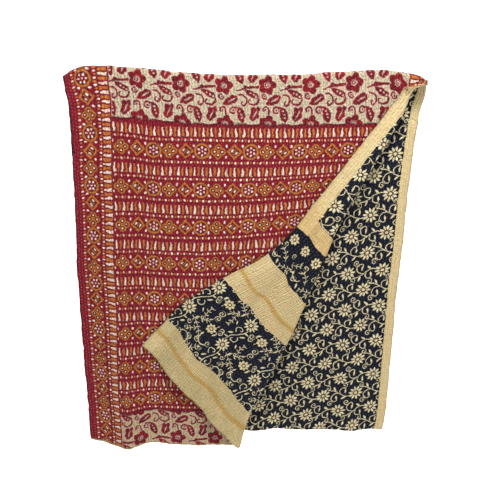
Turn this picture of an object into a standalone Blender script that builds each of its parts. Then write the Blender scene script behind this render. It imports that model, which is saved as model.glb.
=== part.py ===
# Kantha quilt, doubled over a line at its top fold. The right edge of the front layer is turned over,
# so that its reverse shows as a slanting flap, and the reverse of the back layer shows beside it.
# Metres, +Z up. +X is to the right, +Y points away from the viewer.
# The origin is the middle of the crest of the top fold.

import math

import bpy
import numpy as np

# The quilt, which is 1.12 m wide laid flat, and its two cloths
FRONT_DROP = 1.255  # along the cloth, from the crest of the top fold to the front hem
BACK_DROP = 1.222
CLOTH_THICKNESS = 0.0014
CLOTH_GAP = 0.0003

# The top fold
CREST_RADIUS = 0.012  # to the middle of the quilt's thickness, round a rail of 20 mm or a line

# The turned-over edge
CURL_LENGTH = 0.055  # along the cloth, below the crest, over which the edge curls right over
CURLED_TO = 0.11  # the drop below which the flap's edge follows its table
TOP_TURN_ARC = 0.024
TURN_ARC = 0.048  # cloth in the rounded turn, from the front layer to the flap
TURN_GROWS_OVER = 0.30
TOP_FLAP = 0.025  # width of the flap where it leaves the crest
EDGE_LIFT = 0.009  # the flap's outer edge stands this far off the front layer
RIDGE_HEIGHT = 0.009
RIDGES_ACROSS = 2.2

# Cells of the surface
BACK_ROWS = 18
CREST_ROWS = 6
CURL_ROWS = 5
FRONT_ROWS = 20
LAYER_COLUMNS = 14
TURN_COLUMNS = 6
FLAP_COLUMNS = 10
LEFT_CROWDING = 1.25  # above 1, columns crowd towards the left edge, where the crest droops

# Height of the crest along the top fold, and of the two hems about their mean
CREST = {
    "x": (-0.534, -0.515, -0.488, -0.414, -0.300, -0.135, 0.000, 0.132, 0.250, 0.397, 0.472, 0.511, 0.539),
    "rise": (-0.001, 0.014, 0.023, 0.026, 0.018, 0.003, 0.000, 0.001, 0.007, 0.013, 0.006, -0.003, -0.020),
}
FRONT_HEM = {
    "x": (-0.534, -0.435, -0.408, -0.372, -0.326, -0.239, -0.159, -0.061, -0.023),
    "rise": (0.021, -0.004, -0.011, -0.004, 0.007, -0.001, -0.006, -0.003, -0.004),
}
BACK_HEM = {
    "x": (-0.534, -0.300, -0.050, 0.050, 0.138, 0.369, 0.440, 0.476),
    "rise": (0.006, -0.003, 0.002, -0.004, 0.002, 0.000, 0.001, 0.008),
}
# Left edge at each drop: behind (below 0), over the crest and in front
LEFT_EDGE = {
    "drop": (-0.100, 0.000, 0.050, 0.120, 0.220, 0.300, 0.450, 0.520, 0.620, 0.950, 1.150, 1.255),
    "x": (-0.534, -0.539, -0.534, -0.525, -0.525, -0.530, -0.533, -0.536, -0.541, -0.541, -0.537, -0.536),
}
# Right edge of the back layer, which hangs inwards a little
BACK_EDGE = {
    "drop": (0.000, 0.035, 0.106, 0.250, 0.413, 0.547, 0.678, 0.932, 1.170, 1.222),
    "x": (0.539, 0.541, 0.527, 0.515, 0.507, 0.504, 0.497, 0.492, 0.486, 0.478),
}
# For cloth at each drop: where the front layer starts to turn, and where the flap's outer edge lies
FLAP = {
    "drop": (0.019, 0.090, 0.276, 0.353, 0.523, 0.588, 0.719, 0.879, 1.071, 1.127, 1.255),
    "turn_x": (0.490, 0.468, 0.380, 0.342, 0.263, 0.236, 0.179, 0.116, 0.026, -0.002, -0.037),
    "turn_z": (-0.012, -0.087, -0.256, -0.322, -0.485, -0.561, -0.714, -0.875, -1.062, -1.117, -1.250),
    "edge_x": (0.491, 0.450, 0.341, 0.297, 0.198, 0.161, 0.071, -0.064, -0.219, -0.255, -0.340),
    "edge_z": (-0.018, -0.068, -0.215, -0.276, -0.407, -0.459, -0.549, -0.626, -0.732, -0.772, -0.863),
}
# Soft swells of the two layers: where each lies, its half width and how far it stands out at the hem
FRONT_SWELLS = {"x": (-0.42, -0.20, 0.02), "half_width": (0.09, 0.10, 0.11), "height": (0.014, 0.006, 0.009)}
BACK_SWELLS = {
    "x": (-0.45, -0.27, -0.08, 0.10, 0.27, 0.41),
    "half_width": (0.08, 0.09, 0.08, 0.08, 0.07, 0.06),
    "height": (0.022, 0.026, 0.020, 0.016, 0.011, 0.008),
}

QUARTER_ARC = CREST_RADIUS * math.pi / 2


def smooth_step(value):
    """0 below 0, 1 above 1, and a smooth rise between them."""
    value = np.clip(value, 0.0, 1.0)
    return value * value * (3 - 2 * value)


def through(table, key, value, at):
    """A smooth curve through a table's points, which never swings past them."""
    x, y = np.asarray(table[key]), np.asarray(table[value])
    step = np.diff(x)
    rise = np.diff(y) / step
    slope = np.concatenate((rise[:1], np.zeros(len(x) - 2), rise[-1:]))
    same_way = rise[:-1] * rise[1:] > 0
    mean = 2 * rise[:-1] * rise[1:] / np.where(same_way, rise[:-1] + rise[1:], 1.0)
    slope[1:-1] = np.where(same_way, mean, 0.0)
    at = np.clip(at, x[0], x[-1])
    cell = np.clip(np.searchsorted(x, at, side="right") - 1, 0, len(x) - 2)
    part = (at - x[cell]) / step[cell]
    start, end = y[cell], y[cell + 1]
    lean_in, lean_out = slope[cell] * step[cell], slope[cell + 1] * step[cell]
    return (
        start * (1 + 2 * part) * (1 - part) ** 2
        + lean_in * part * (1 - part) ** 2
        + end * part * part * (3 - 2 * part)
        + lean_out * part * part * (part - 1)
    )


def swell(swells, x, drop):
    """How far a layer stands out at x: a row of soft round swells that grow from the top fold to the hem."""
    out = np.zeros_like(x)
    for middle, half_width, height in zip(swells["x"], swells["half_width"], swells["height"]):
        out = out + height * np.exp(-(((x - middle) / half_width) ** 2))
    return out * smooth_step((drop - 0.12) / 1.0)


def front_depth(x, drop):
    return -CREST_RADIUS - swell(FRONT_SWELLS, x, drop)


def row_drops():
    """Cloth length from the crest for each row of points: below 0 behind, above 0 in front."""
    back = np.linspace(-BACK_DROP, -QUARTER_ARC, BACK_ROWS + 1)
    crest = np.linspace(-QUARTER_ARC, QUARTER_ARC, CREST_ROWS + 1)
    curl = np.linspace(QUARTER_ARC, CURLED_TO, CURL_ROWS + 1)
    front = np.linspace(CURLED_TO, FRONT_DROP, FRONT_ROWS + 1)
    return np.concatenate((back, crest[1:], curl[1:], front[1:]))


def layer_parts():
    """How far across the layer each of its columns lies, from 0 at the left edge to 1 at the turn."""
    return np.linspace(0.0, 1.0, LAYER_COLUMNS + 1) ** LEFT_CROWDING


def back_row(drop):
    """A row of the back layer or the crest: level but for the sag of the top fold and the hem's own line."""
    behind = -drop
    left = through(LEFT_EDGE, "drop", "x", drop)
    right = through(BACK_EDGE, "drop", "x", max(behind, 0.0))
    even = np.linspace(0.0, 1.0, LAYER_COLUMNS + TURN_COLUMNS + FLAP_COLUMNS + 1)
    length = right - left
    turn_at = 1 - (TOP_TURN_ARC + TOP_FLAP) / length
    flap_at = 1 - TOP_FLAP / length
    spread = np.concatenate((
        layer_parts() * turn_at,
        np.linspace(turn_at, flap_at, TURN_COLUMNS + 1)[1:],
        np.linspace(flap_at, 1, FLAP_COLUMNS + 1)[1:],
    ))
    mixed = smooth_step((behind - QUARTER_ARC) / 0.25)
    across = spread * (1 - mixed) + even * mixed
    x = left + (right - left) * across
    if behind <= QUARTER_ARC:
        turned = drop / CREST_RADIUS
        y = np.full_like(x, -CREST_RADIUS * math.sin(turned))
        z = np.full_like(x, CREST_RADIUS * (math.cos(turned) - 1))
    else:
        y = CREST_RADIUS + swell(BACK_SWELLS, x, behind)
        z = np.full_like(x, -CREST_RADIUS - (behind - QUARTER_ARC))
    down = max(behind, 0.0) / BACK_DROP
    z = z + through(CREST, "x", "rise", x) * (1 - down) + through(BACK_HEM, "x", "rise", x) * down
    return np.stack((x, y, z), axis=1)


def front_row(drop):
    """A row of the front layer, round the turn and across the flap to the quilt's right edge."""
    down = drop / FRONT_DROP
    turn = np.array([through(FLAP, "drop", "turn_x", drop), through(FLAP, "drop", "turn_z", drop)])
    turn[1] += through(CREST, "x", "rise", turn[0]) * (1 - smooth_step(drop / CURLED_TO))
    ahead = np.array([through(FLAP, "drop", name, drop + 0.06) for name in ("turn_x", "turn_z")])
    before = np.array([through(FLAP, "drop", name, drop - 0.06) for name in ("turn_x", "turn_z")])
    along = (ahead - before) / np.linalg.norm(ahead - before)
    outward = np.array([-along[1], along[0]])

    # Front layer: from the left edge to the turn
    left = through(LEFT_EDGE, "drop", "x", drop)
    x = left + (turn[0] - left) * layer_parts()
    z = -CREST_RADIUS - (drop - QUARTER_ARC)
    z = z + through(CREST, "x", "rise", x) * (1 - down) + through(FRONT_HEM, "x", "rise", x) * down
    z = z + (turn[1] - z[-1]) * smooth_step((x - x[-1] + 0.45) / 0.45)
    layer = np.stack((x, front_depth(x, drop), z), axis=1)

    # The turn: an arc that grows from nothing at the crest to a half circle, and winds up along the fold
    arc = TOP_TURN_ARC + (TURN_ARC - TOP_TURN_ARC) * smooth_step(drop / TURN_GROWS_OVER)
    curl = math.pi * float(smooth_step((drop - QUARTER_ARC) / CURL_LENGTH)) + 1e-6
    run = np.array([1.0, 0.0])
    across_part, along_part = float(run @ outward), float(run @ along)
    length = np.linspace(0, arc, TURN_COLUMNS + 1)
    radius = arc * across_part / curl
    angle = curl * length / arc
    flat = turn + np.outer(radius * np.sin(angle), outward) + np.outer(length * along_part, along)
    forward = radius * (1 - np.cos(angle))
    rounded = np.stack((flat[:, 0], front_depth(flat[:, 0], drop) - forward, flat[:, 1]), axis=1)

    # The flap: from the end of the turn to the outer edge
    start = flat[-1]
    leaving = outward * across_part * math.cos(curl) + along * along_part
    curled_edge = start + leaving * TOP_FLAP
    lies = np.array([through(FLAP, "drop", "edge_x", drop), through(FLAP, "drop", "edge_z", drop)])
    settled = float(smooth_step((drop - 0.05) / (CURLED_TO - 0.05)))
    edge = curled_edge * (1 - settled) + lies * settled
    part = np.linspace(0, 1, FLAP_COLUMNS + 1)
    flat = start + np.outer(part, edge - start)
    curled_forward = forward[-1] + part * TOP_FLAP * across_part * math.sin(curl)
    lift = forward[-1] * (1 - part) + EDGE_LIFT * part
    grown = smooth_step((drop - 0.30) / 0.6)
    ridges = RIDGE_HEIGHT * grown * np.sin(math.pi * part) * (1 - np.cos(2 * math.pi * RIDGES_ACROSS * part))
    stands = curled_forward * (1 - settled) + (lift + ridges) * settled
    flap = np.stack((flat[:, 0], front_depth(flat[:, 0], drop) - stands, flat[:, 1]), axis=1)
    return np.concatenate((layer, rounded[1:], flap[1:]))


def drape():
    """The quilt's middle surface, as rows of points from the back hem over the crest to the front hem."""
    rows = []
    for drop in row_drops():
        rows.append(back_row(drop) if drop <= QUARTER_ARC + 1e-9 else front_row(drop))
    return np.array(rows)


def cell_triangles(rows, columns):
    """Two triangles for each cell of a grid, with the diagonals turned in every other cell."""
    row, column = np.meshgrid(np.arange(rows - 1), np.arange(columns - 1), indexing="ij")
    first = (row * columns + column).ravel()
    beside, above, across = first + 1, first + columns, first + columns + 1
    even = ((row + column) % 2 == 0).ravel()[:, None]
    one = np.where(even, np.stack((first, beside, across), 1), np.stack((first, beside, above), 1))
    two = np.where(even, np.stack((first, across, above), 1), np.stack((beside, across, above), 1))
    return np.concatenate((one, two))


def outward_normals(points, triangles):
    """Unit normals at a surface's points, on the side that the triangles face."""
    corners = points[triangles]
    facing = np.cross(corners[:, 1] - corners[:, 0], corners[:, 2] - corners[:, 0])
    normals = np.zeros_like(points)
    for corner in range(3):
        np.add.at(normals, triangles[:, corner], facing)
    return normals / np.linalg.norm(normals, axis=1, keepdims=True)


def rim_loop(rows, columns):
    """The grid's points round its edge, in order."""
    index = np.arange(rows * columns).reshape(rows, columns)
    return np.concatenate((index[0, :-1], index[:-1, -1], index[-1, :0:-1], index[:0:-1, 0]))


def make_cloth(name, surface, inner, outer, colour):
    """One cloth: a closed sheet between two offsets from the quilt's middle surface."""
    rows, columns = surface.shape[:2]
    points = surface.reshape(-1, 3)
    triangles = cell_triangles(rows, columns)
    normals = outward_normals(points, triangles)
    count = len(points)
    rim = rim_loop(rows, columns)
    following = np.roll(rim, -1)
    sides = np.concatenate((
        np.stack((rim, rim + count, following + count), 1),
        np.stack((rim, following + count, following), 1),
    ))
    faces = np.concatenate((triangles, triangles[:, ::-1] + count, sides))
    places = np.concatenate((points + normals * outer, points + normals * inner))
    mesh = bpy.data.meshes.new(name)
    mesh.from_pydata(places.tolist(), [], faces.tolist())
    mesh.shade_smooth()
    mesh.update()
    cloth = bpy.data.objects.new(name, mesh)
    bpy.context.scene.collection.objects.link(cloth)
    mesh.materials.append(make_material(name, colour))
    return cloth


def make_material(name, colour):
    material = bpy.data.materials.new(name)
    material.use_nodes = True
    shader = material.node_tree.nodes["Principled BSDF"]
    shader.inputs["Base Color"].default_value = (*colour, 1.0)
    shader.inputs["Roughness"].default_value = 0.9
    return material


def main():
    for old in list(bpy.data.objects):
        bpy.data.objects.remove(old)
    surface = drape()
    near, far = CLOTH_GAP / 2, CLOTH_GAP / 2 + CLOTH_THICKNESS
    make_cloth("red_cloth", surface, near, far, colour=(0.33, 0.03, 0.04))
    make_cloth("black_cloth", surface, -far, -near, colour=(0.03, 0.03, 0.06))


main()
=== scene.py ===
import math

import bpy
import numpy as np
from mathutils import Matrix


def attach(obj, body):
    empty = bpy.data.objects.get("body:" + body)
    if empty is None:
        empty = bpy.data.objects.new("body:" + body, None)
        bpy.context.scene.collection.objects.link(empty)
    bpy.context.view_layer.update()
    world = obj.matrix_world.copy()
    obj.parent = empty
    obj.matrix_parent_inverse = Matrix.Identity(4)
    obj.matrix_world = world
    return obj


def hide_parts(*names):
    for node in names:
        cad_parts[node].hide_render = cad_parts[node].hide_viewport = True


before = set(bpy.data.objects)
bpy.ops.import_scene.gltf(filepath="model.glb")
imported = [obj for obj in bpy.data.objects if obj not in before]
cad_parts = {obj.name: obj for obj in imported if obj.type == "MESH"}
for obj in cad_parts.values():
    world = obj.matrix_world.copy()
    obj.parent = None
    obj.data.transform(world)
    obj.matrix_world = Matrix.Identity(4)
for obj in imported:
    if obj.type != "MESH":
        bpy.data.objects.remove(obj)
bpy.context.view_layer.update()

# The quilt's own shape, in metres. Its two cloths are sewn together flat, so both follow one middle surface
quilt = {
    "width": 1.12,  # laid flat
    "frontDrop": 1.255,
    "backDrop": 1.222,
    "crestRadius": 0.012,
    "curlLength": 0.055,
    "curledTo": 0.11,
    "topTurnArc": 0.024,
    "turnArc": 0.048,
    "turnGrowsOver": 0.30,
    "topFlap": 0.025,
    "edgeLift": 0.009,
    "ridgeHeight": 0.009,
    "ridgesAcross": 2.2,
    "columns": 176,
    "backRows": 130,
    "crestRows": 14,
    "frontRows": 200,
    "outerFace": 0.00155,  # each cloth's two faces, from the middle surface
    "innerFace": 0.00015,
}
quarterArc = quilt["crestRadius"] * math.pi / 2

# Lines that the quilt follows: the crest, the two hems, the back layer's right edge and the flap
crest = {
    "x": (-0.534, -0.515, -0.488, -0.414, -0.300, -0.135, 0.000, 0.132, 0.250, 0.397, 0.472, 0.511, 0.539),
    "rise": (-0.001, 0.014, 0.023, 0.026, 0.018, 0.003, 0.000, 0.001, 0.007, 0.013, 0.006, -0.003, -0.020),
}
frontHem = {
    "x": (-0.534, -0.435, -0.408, -0.372, -0.326, -0.239, -0.159, -0.061, -0.023),
    "rise": (0.021, -0.004, -0.011, -0.004, 0.007, -0.001, -0.006, -0.003, -0.004),
}
backHem = {
    "x": (-0.534, -0.300, -0.050, 0.050, 0.138, 0.369, 0.440, 0.476),
    "rise": (0.006, -0.003, 0.002, -0.004, 0.002, 0.000, 0.001, 0.008),
}
leftEdge = {
    "drop": (-0.100, 0.000, 0.050, 0.120, 0.220, 0.300, 0.450, 0.520, 0.620, 0.950, 1.150, 1.255),
    "x": (-0.534, -0.539, -0.534, -0.525, -0.525, -0.530, -0.533, -0.536, -0.541, -0.541, -0.537, -0.536),
}
backEdge = {
    "drop": (0.000, 0.035, 0.106, 0.250, 0.413, 0.547, 0.678, 0.932, 1.170, 1.222),
    "x": (0.539, 0.541, 0.527, 0.515, 0.507, 0.504, 0.497, 0.492, 0.486, 0.478),
}
flap = {
    "drop": (0.019, 0.090, 0.276, 0.353, 0.523, 0.588, 0.719, 0.879, 1.071, 1.127, 1.255),
    "turnX": (0.490, 0.468, 0.380, 0.342, 0.263, 0.236, 0.179, 0.116, 0.026, -0.002, -0.037),
    "turnZ": (-0.012, -0.087, -0.256, -0.322, -0.485, -0.561, -0.714, -0.875, -1.062, -1.117, -1.250),
    "edgeX": (0.491, 0.450, 0.341, 0.297, 0.198, 0.161, 0.071, -0.064, -0.219, -0.255, -0.340),
    "edgeZ": (-0.018, -0.068, -0.215, -0.276, -0.407, -0.459, -0.549, -0.626, -0.732, -0.772, -0.863),
}
frontSwells = {"x": (-0.42, -0.20, 0.02), "halfWidth": (0.09, 0.10, 0.11), "height": (0.014, 0.006, 0.009)}
backSwells = {
    "x": (-0.45, -0.27, -0.08, 0.10, 0.27, 0.41),
    "halfWidth": (0.08, 0.09, 0.08, 0.08, 0.07, 0.06),
    "height": (0.022, 0.026, 0.020, 0.016, 0.011, 0.008),
}


# 0 below 0, 1 above 1, and 3v^2 - 2v^3 between
def smoothStep(value):
    value = np.clip(value, 0.0, 1.0)
    return value * value * (3 - 2 * value)


# A curve through a table's points: a cubic in each span, with the harmonic mean of its neighbours' slopes
def through(table, key, value, at):
    x, y = np.asarray(table[key]), np.asarray(table[value])
    step = np.diff(x)
    rise = np.diff(y) / step
    slope = np.concatenate((rise[:1], np.zeros(len(x) - 2), rise[-1:]))
    sameWay = rise[:-1] * rise[1:] > 0
    mean = 2 * rise[:-1] * rise[1:] / np.where(sameWay, rise[:-1] + rise[1:], 1.0)
    slope[1:-1] = np.where(sameWay, mean, 0.0)
    at = np.clip(at, x[0], x[-1])
    cell = np.clip(np.searchsorted(x, at, side="right") - 1, 0, len(x) - 2)
    part = (at - x[cell]) / step[cell]
    leanIn, leanOut = slope[cell] * step[cell], slope[cell + 1] * step[cell]
    return (
        y[cell] * (1 + 2 * part) * (1 - part) ** 2
        + leanIn * part * (1 - part) ** 2
        + y[cell + 1] * part * part * (3 - 2 * part)
        + leanOut * part * part * (part - 1)
    )


# Smooth noise from -1 to 1: random numbers at whole u and v, joined by smooth steps
def softNoise(u, v, seed):
    dots = np.random.RandomState(seed).uniform(-1, 1, (64, 64))
    u, v = np.broadcast_arrays(u, v)
    low, left = np.floor(v).astype(int), np.floor(u).astype(int)
    across, up = smoothStep(u - left), smoothStep(v - low)
    bottom = dots[low % 64, left % 64] * (1 - across) + dots[low % 64, (left + 1) % 64] * across
    top = dots[(low + 1) % 64, left % 64] * (1 - across) + dots[(low + 1) % 64, (left + 1) % 64] * across
    return bottom * (1 - up) + top * up


# How far a layer stands out: a row of bell curves over x, which grow from the crest to the hem
def swell(swells, x, drop):
    out = np.zeros_like(x)
    for middle, halfWidth, height in zip(swells["x"], swells["halfWidth"], swells["height"]):
        out = out + height * np.exp(-(((x - middle) / halfWidth) ** 2))
    return out * smoothStep((drop - 0.12) / 1.0)


def frontDepth(x, drop):
    return -quilt["crestRadius"] - swell(frontSwells, x, drop)


# The back layer and the crest, for a column of drops (below 0 behind) and a row of parts from 0 to 1:
# x runs from the left edge to the right one, and z is the drop plus the lines of the crest and the hem
def backSurface(drop, part):
    behind, radius = -drop, quilt["crestRadius"]
    right = through(backEdge, "drop", "x", np.maximum(behind, 0.0))
    left = through(leftEdge, "drop", "x", drop)
    x = left + (right - left) * part
    turned = np.clip(drop / radius, -math.pi / 2, math.pi / 2)
    y = -radius * np.sin(turned) + swell(backSwells, x, behind)
    z = radius * (np.cos(turned) - 1) - np.maximum(behind - quarterArc, 0.0)
    down = np.maximum(behind, 0.0) / quilt["backDrop"]
    z = z + through(crest, "x", "rise", x) * (1 - down) + through(backHem, "x", "rise", x) * down
    return np.stack((x, y, z), axis=2)


# The front, for a column of drops and a row of parts: the layer up to the turn, then an arc that curls up
# to half a circle across the fold, then the flap, straight to its edge with soft ridges along it
def frontSurface(drop, part):
    down = drop / quilt["frontDrop"]
    settling = smoothStep(drop / quilt["curledTo"])
    turnX = through(flap, "drop", "turnX", drop)
    turnZ = through(flap, "drop", "turnZ", drop) + through(crest, "x", "rise", turnX) * (1 - settling)
    alongX = through(flap, "drop", "turnX", drop + 0.06) - through(flap, "drop", "turnX", drop - 0.06)
    alongZ = through(flap, "drop", "turnZ", drop + 0.06) - through(flap, "drop", "turnZ", drop - 0.06)
    size = np.hypot(alongX, alongZ)
    alongX, alongZ = alongX / size, alongZ / size
    outX, outZ = -alongZ, alongX

    def levelLine(x):
        rise = through(crest, "x", "rise", x) * (1 - down) + through(frontHem, "x", "rise", x) * down
        return rise - quilt["crestRadius"] - (drop - quarterArc)

    left = through(leftEdge, "drop", "x", drop)
    x = left + (turnX - left) * part
    z = levelLine(x) + (turnZ - levelLine(turnX)) * smoothStep((x - turnX + 0.45) / 0.45)
    layer = np.stack((x, frontDepth(x, drop), z), axis=2)

    grown = smoothStep(drop / quilt["turnGrowsOver"])
    arc = quilt["topTurnArc"] + (quilt["turnArc"] - quilt["topTurnArc"]) * grown
    curl = math.pi * smoothStep((drop - quarterArc) / quilt["curlLength"]) + 1e-6
    radius = arc * outX / curl
    flatX = turnX + radius * np.sin(curl * part) * outX + arc * part * alongX * alongX
    flatZ = turnZ + radius * np.sin(curl * part) * outZ + arc * part * alongX * alongZ
    forward = radius * (1 - np.cos(curl * part))
    turn = np.stack((flatX, frontDepth(flatX, drop) - forward, flatZ), axis=2)

    startX, startZ, startForward = flatX[:, -1:], flatZ[:, -1:], forward[:, -1:]
    leaveX = outX * outX * np.cos(curl) + alongX * alongX
    leaveZ = outZ * outX * np.cos(curl) + alongZ * alongX
    settled = smoothStep((drop - 0.05) / (quilt["curledTo"] - 0.05))
    topX, topZ = startX + leaveX * quilt["topFlap"], startZ + leaveZ * quilt["topFlap"]
    edgeX = topX * (1 - settled) + through(flap, "drop", "edgeX", drop) * settled
    edgeZ = topZ * (1 - settled) + through(flap, "drop", "edgeZ", drop) * settled
    x, z = startX + part * (edgeX - startX), startZ + part * (edgeZ - startZ)
    curled = startForward + part * quilt["topFlap"] * outX * np.sin(curl)
    lift = startForward * (1 - part) + quilt["edgeLift"] * part
    ridges = np.sin(math.pi * part) * (1 - np.cos(2 * math.pi * quilt["ridgesAcross"] * part))
    ridges = ridges * quilt["ridgeHeight"] * smoothStep((drop - 0.30) / 0.6)
    stands = curled * (1 - settled) + (lift + ridges) * settled
    lies = np.stack((x, frontDepth(x, drop) - stands, z), axis=2)
    return np.concatenate((layer, turn[:, 1:], lies[:, 1:]), axis=1)


# Rows of points moved along themselves, so that they lie evenly: row lengths are summed up, and each new
# point is read off at its share of them. Also gives each point's distance from the row's left end
def spreadEvenly(points, count):
    step = np.linalg.norm(np.diff(points, axis=1), axis=2)
    distance = np.concatenate((np.zeros((len(points), 1)), np.cumsum(step, axis=1)), axis=1)
    wanted = distance[:, -1:] * np.linspace(0, 1, count + 1)
    apart = 10.0 * np.arange(len(points))[:, None]
    known = (distance + apart).ravel()
    read = [np.interp(wanted + apart, known, points[..., axis].ravel()) for axis in range(3)]
    return np.stack(read, axis=2), wanted


# The whole middle surface: drops for its rows, points, and each point's distance from the left edge
def drapedSurface():
    back = np.linspace(-quilt["backDrop"], -quarterArc, quilt["backRows"] + 1)
    over = np.linspace(-quarterArc, quarterArc, quilt["crestRows"] + 1)
    front = np.linspace(quarterArc, quilt["frontDrop"], quilt["frontRows"] + 1)
    behind = np.concatenate((back, over[1:]))[:, None]
    ahead = front[1:, None]
    part = np.linspace(0, 1, 97)[None, :]
    backPoints, backAcross = spreadEvenly(backSurface(behind, part), quilt["columns"])
    frontPoints, frontAcross = spreadEvenly(frontSurface(ahead, part), quilt["columns"])
    drop = np.concatenate((behind, ahead))
    return drop, np.concatenate((backPoints, frontPoints)), np.concatenate((backAcross, frontAcross))


# Unit normals of a grid of points: the cross product of its two directions
def gridNormals(points):
    normals = np.cross(np.gradient(points, axis=0), np.gradient(points, axis=1))
    return normals / np.linalg.norm(normals, axis=2, keepdims=True)


creases = {
    "fold": 0.0040,  # soft folds down the cloth
    "flapFold": 0.0070,
    "wrinkle": 0.0016,
    "crestBumps": 0.0016,
    "sideScallops": 0.0014,
    "hemWaves": 0.0026,
    "puckers": 0.0042,  # bump between the rows of stitching
}


# Adds what the plain drape lacks: noise along the normals, longest down the cloth, and uneven edges, which
# move along the row or the drop and fade out over 3 cm
def addCreases(drop, points, across):
    x, z = points[..., 0], points[..., 2]
    length = across[:, -1:]
    normals = gridNormals(points)
    flapReach = through({"z": flap["edgeZ"][::-1], "x": flap["edgeX"][::-1]}, "z", "x", z)
    turnReach = through(flap, "drop", "turnX", drop)
    front = smoothStep((drop - 0.02) / 0.03)
    layerEnd = turnReach - through(leftEdge, "drop", "x", drop)
    onFlap = front * smoothStep((across - layerEnd - 0.01) / 0.06)
    covered = front * (1 - onFlap) * smoothStep((x - flapReach + 0.03) / 0.05)
    grown = smoothStep(np.abs(drop) / 0.35)
    folds = softNoise(across / 0.075, drop / 0.42, 3) + 0.5 * softNoise(across / 0.040, drop / 0.25, 4)
    wrinkles = softNoise(across / 0.021, drop / 0.034, 5) + 0.6 * softNoise(across / 0.013, drop / 0.020, 6)
    height = folds * grown * (creases["fold"] * (1 - onFlap) + creases["flapFold"] * onFlap)
    height = height + wrinkles * creases["wrinkle"] * (0.35 + 0.65 * smoothStep(np.abs(drop) / 0.05))
    points = points + normals * (height * (1 - 0.75 * covered))[..., None]

    tangent = np.gradient(points, axis=1)
    tangent = tangent / np.linalg.norm(tangent, axis=2, keepdims=True)
    left, right = np.exp(-((across / 0.02) ** 2)), np.exp(-(((length - across) / 0.02) ** 2))
    ripple = softNoise(0.0, drop / 0.017, 7) + 0.6 * softNoise(0.0, drop / 0.045, 8)
    otherRipple = softNoise(0.5, drop / 0.024, 9) + 0.6 * softNoise(0.5, drop / 0.06, 10)
    slide = creases["sideScallops"] * (left * ripple + right * otherRipple)
    points = points + tangent * slide[..., None]

    top = softNoise(across / 0.030, 0.0, 11) + 0.5 * softNoise(across / 0.012, 0.0, 12)
    top = top * np.exp(-((drop / 0.05) ** 2))
    toFrontHem, toBackHem = (quilt["frontDrop"] - drop) / 0.03, (quilt["backDrop"] + drop) / 0.03
    toHem = np.exp(-(toFrontHem**2)) - np.exp(-(toBackHem**2))
    hem = toHem * (softNoise(across / 0.035, 0.5, 13) + 0.5 * softNoise(across / 0.014, 0.5, 14))
    points[..., 2] += creases["crestBumps"] * top * (1 - onFlap)
    down = np.gradient(points, axis=0)
    down = down / np.linalg.norm(down, axis=2, keepdims=True)
    return points + down * (creases["hemWaves"] * hem)[..., None]


# One cloth as a closed sheet: a fine outer side, and an inner side of every second point, joined at the rim.
# side is 1 for the outer face of the front layer and -1 for the quilt's reverse
def makeCloth(name, points, plan, side):
    rows, columns = points.shape[:2]
    normals = gridNormals(points) * side
    fine = (points + normals * quilt["outerFace"]).reshape(-1, 3)
    plain = (points + normals * quilt["innerFace"])[::2, ::2]
    fewRows, fewColumns = plain.shape[:2]
    index = np.arange(rows * columns).reshape(rows, columns)
    few = rows * columns + np.arange(fewRows * fewColumns).reshape(fewRows, fewColumns)
    outerQuads = np.stack((index[:-1, :-1], index[:-1, 1:], index[1:, 1:], index[1:, :-1]), 2).reshape(-1, 4)
    innerQuads = np.stack((few[:-1, :-1], few[1:, :-1], few[1:, 1:], few[:-1, 1:]), 2).reshape(-1, 4)

    def rim(grid):
        return np.concatenate((grid[0, :-1], grid[:-1, -1], grid[-1, :0:-1], grid[:0:-1, 0]))

    edge, fewEdge = rim(index), rim(few)
    start, middle, end = edge[::2], edge[1::2], np.roll(edge[::2], -1)
    behindStart, behindEnd = fewEdge, np.roll(fewEdge, -1)
    sides = np.concatenate((
        np.stack((start, behindStart, middle), 1),
        np.stack((middle, behindStart, behindEnd), 1),
        np.stack((middle, behindEnd, end), 1),
    ))
    if side > 0:
        outerQuads, innerQuads, sides = outerQuads[:, ::-1], innerQuads[:, ::-1], sides[:, ::-1]
    places = np.concatenate((fine, plain.reshape(-1, 3)))
    loops = np.concatenate((outerQuads.ravel(), innerQuads.ravel(), sides.ravel()))
    sizes = np.concatenate((np.full(len(outerQuads) + len(innerQuads), 4), np.full(len(sides), 3)))
    mesh = bpy.data.meshes.new(name)
    mesh.vertices.add(len(places))
    mesh.vertices.foreach_set("co", places.astype(np.float32).ravel())
    mesh.loops.add(len(loops))
    mesh.loops.foreach_set("vertex_index", loops.astype(np.int32))
    mesh.polygons.add(len(sizes))
    mesh.polygons.foreach_set("loop_start", (np.cumsum(sizes) - sizes).astype(np.int32))
    mesh.update(calc_edges=True)
    mesh.polygons.foreach_set("use_smooth", np.ones(len(sizes), bool))
    flat = np.concatenate((plan.reshape(-1, 2), plan[::2, ::2].reshape(-1, 2)))
    layer = mesh.uv_layers.new(name="flatCloth")
    layer.data.foreach_set("uv", flat[loops].astype(np.float32).ravel())
    mesh.validate()
    cloth = bpy.data.objects.new(name, mesh)
    bpy.context.scene.collection.objects.link(cloth)
    return cloth


print("draping the quilt")
drop, plainPoints, across = drapedSurface()
middleSurface = addCreases(drop, plainPoints, across)
length = across[:, -1:]
# Distances on the cut cloth, from the left edge for the red side and from the right edge for the reverse.
# Behind, the red side's widths are evened out, so that both of its borders show whole
behindPart = smoothStep(-drop / 0.25)
fromLeft = across * (1 + (quilt["width"] / length - 1) * behindPart)
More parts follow.
